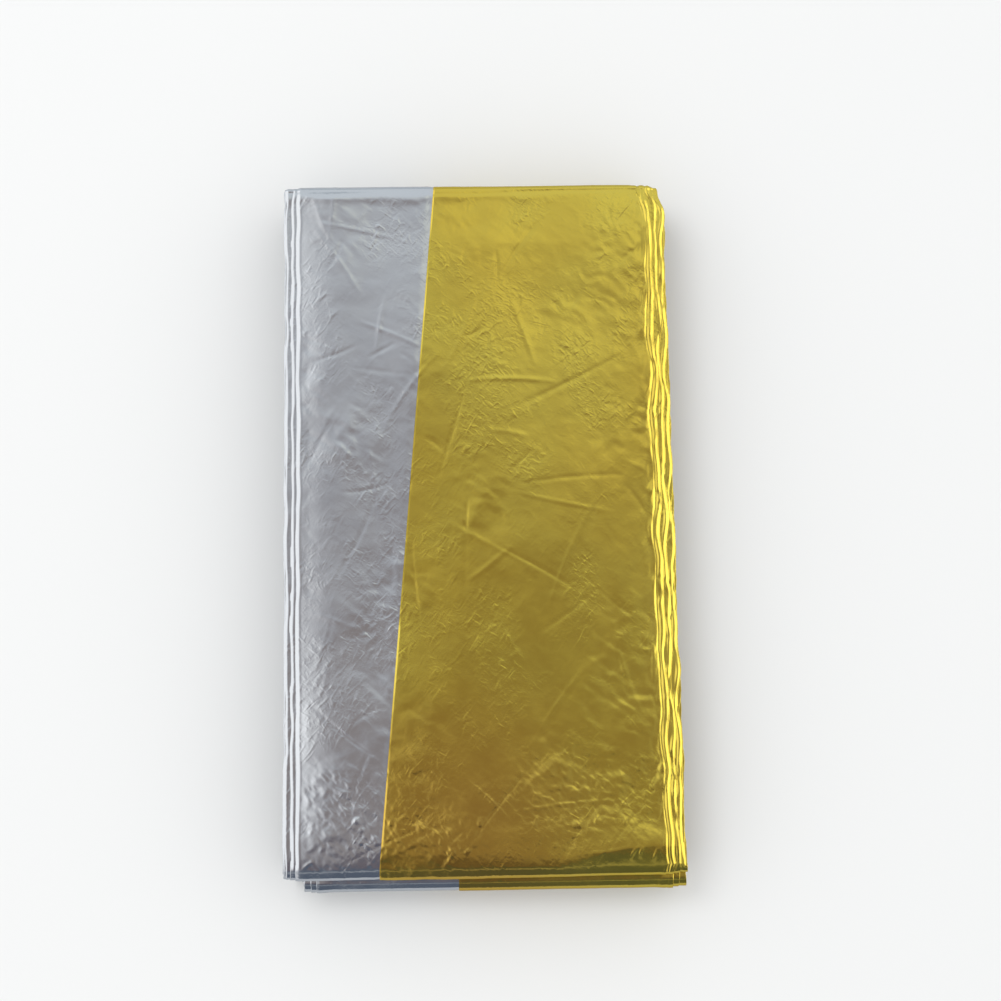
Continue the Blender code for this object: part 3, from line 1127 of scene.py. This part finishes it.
def makeFloor():
    half = floorSet["size"] / 2
    mesh = bpy.data.meshes.new("floor")
    corners = [(-half, -half), (half, -half), (half, half), (-half, half)]
    mesh.from_pydata([(x, y, floorSet["drop"] * mm) for x, y in corners], [], [(0, 1, 2, 3)])
    floor = bpy.data.objects.new("floor", mesh)
    bpy.context.scene.collection.objects.link(floor)
    material = bpy.data.materials.new("pale_paper")
    material.use_nodes = True
    tree = material.node_tree
    shader = tree.nodes["Principled BSDF"]
    ray = addNode(tree, "ShaderNodeLightPath")
    colour = addNode(tree, "ShaderNodeMix", {"data_type": "RGBA"}, {
        0: ray.outputs["Is Glossy Ray"], 6: linear(floorSet["colour"]), 7: linear(floorSet["mirrored"])})
    tree.links.new(colour.outputs[2], shader.inputs["Base Color"])
    shader.inputs["Roughness"].default_value = 0.8
    shader.inputs["Specular IOR Level"].default_value = 0.2
    mesh.materials.append(material)


# A light tent of soft cards, one hung before another, each by where it stands and how wide it is,
# in degrees. Azimuth 0 stands at the packet's far end and 90 at its right. The cards of minus
# elevation hang before the near end, and the low ones give the faces something to mirror from the
# sides. Only the film mirrors the tent: the floor is lit evenly and the backdrop is plain.
tent = {
    "sky": "#CFD4D8",
    "floorLight": 1.01,
    "backdrop": "#EAEBEB",
    "cards": table(("azimuth", "elevation", "inner", "outer", "colour", "strength"), (
        (180, 26, 66, 90, "#969395", 1.0),
        (22, 72, 0, 8, "#D8DAD2", 1.0),
        (0, 22, 8, 18, "#B4BABF", 1.0),
        (90, 89, 0, 9, "#8C8380", 1.0),
        (180, -4, 84, 90, "#696166", 1.0),
        (180, -14, 87, 90, "#59616E", 1.0),
        (180, -24, 88, 90, "#95999E", 1.0),
        (180, -30, 87, 90, "#59616E", 1.0),
        (135, 14, 8, 24, "#FFFFFF", 0.60),
        (127, 13, 2, 12, "#969A9F", 1.0),
        (-140, 34, 10, 26, "#FFFFFF", 0.80),
        (-152, 10, 10, 22, "#FFFFFF", 0.90),
        (-90, 38, 22, 48, "#FFFFFF", 1.05),
        (90, 38, 8, 35, "#FFFFF4", 1.65),
    )),
}


def makeTent():
    world = bpy.data.worlds.new("light_tent")
    world.use_nodes = True
    bpy.context.scene.world = world
    tree = world.node_tree
    where = addNode(tree, "ShaderNodeTexCoord").outputs["Generated"]
    mirrored = linear(tent["sky"])
    for card in tent["cards"]:
        turn, rise = math.radians(card["azimuth"]), math.radians(card["elevation"])
        axis = (math.sin(turn) * math.cos(rise), math.cos(turn) * math.cos(rise), math.sin(rise))
        facing = addNode(tree, "ShaderNodeVectorMath", {"operation": "DOT_PRODUCT"}, {0: where, 1: axis})
        share = addNode(tree, "ShaderNodeMapRange", {"interpolation_type": "SMOOTHSTEP"}, {
            "Value": facing.outputs["Value"],
            "From Min": math.cos(math.radians(card["outer"])),
            "From Max": math.cos(math.radians(card["inner"]))})
        glow = [value * card["strength"] for value in linear(card["colour"])[:3]] + [1.0]
        mirrored = addNode(tree, "ShaderNodeMix", {"data_type": "RGBA"}, {
            0: share.outputs["Result"], 6: mirrored, 7: glow}).outputs[2]
    ray = addNode(tree, "ShaderNodeLightPath")
    even = [tent["floorLight"]] * 3 + [1.0]
    lit = addNode(tree, "ShaderNodeMix", {"data_type": "RGBA"}, {
        0: ray.outputs["Is Diffuse Ray"], 6: mirrored, 7: even})
    seen = addNode(tree, "ShaderNodeMix", {"data_type": "RGBA"}, {
        0: ray.outputs["Is Camera Ray"], 6: lit.outputs[2], 7: linear(tent["backdrop"])})
    tree.links.new(seen.outputs[2], tree.nodes["Background"].inputs["Color"])


wash = {"place": (-0.35, 0.25, 1.0), "size": 0.5, "power": 2.0}


def makeWash():
    # gives the floor a soft shadow and leaves the mirror of the film to the tent
    data = bpy.data.lights.new("wash", "AREA")
    data.shape = "DISK"
    data.size = wash["size"]
    data.energy = wash["power"]
    light = bpy.data.objects.new("wash", data)
    light.location = wash["place"]
    light.rotation_euler = Vector(wash["place"]).to_track_quat("Z", "Y").to_euler()
    light.visible_glossy = False
    bpy.context.scene.collection.objects.link(light)


makeFloor()
makeTent()
makeWash()
bpy.context.scene.view_settings.view_transform = "Standard"
print("floor and light placed")
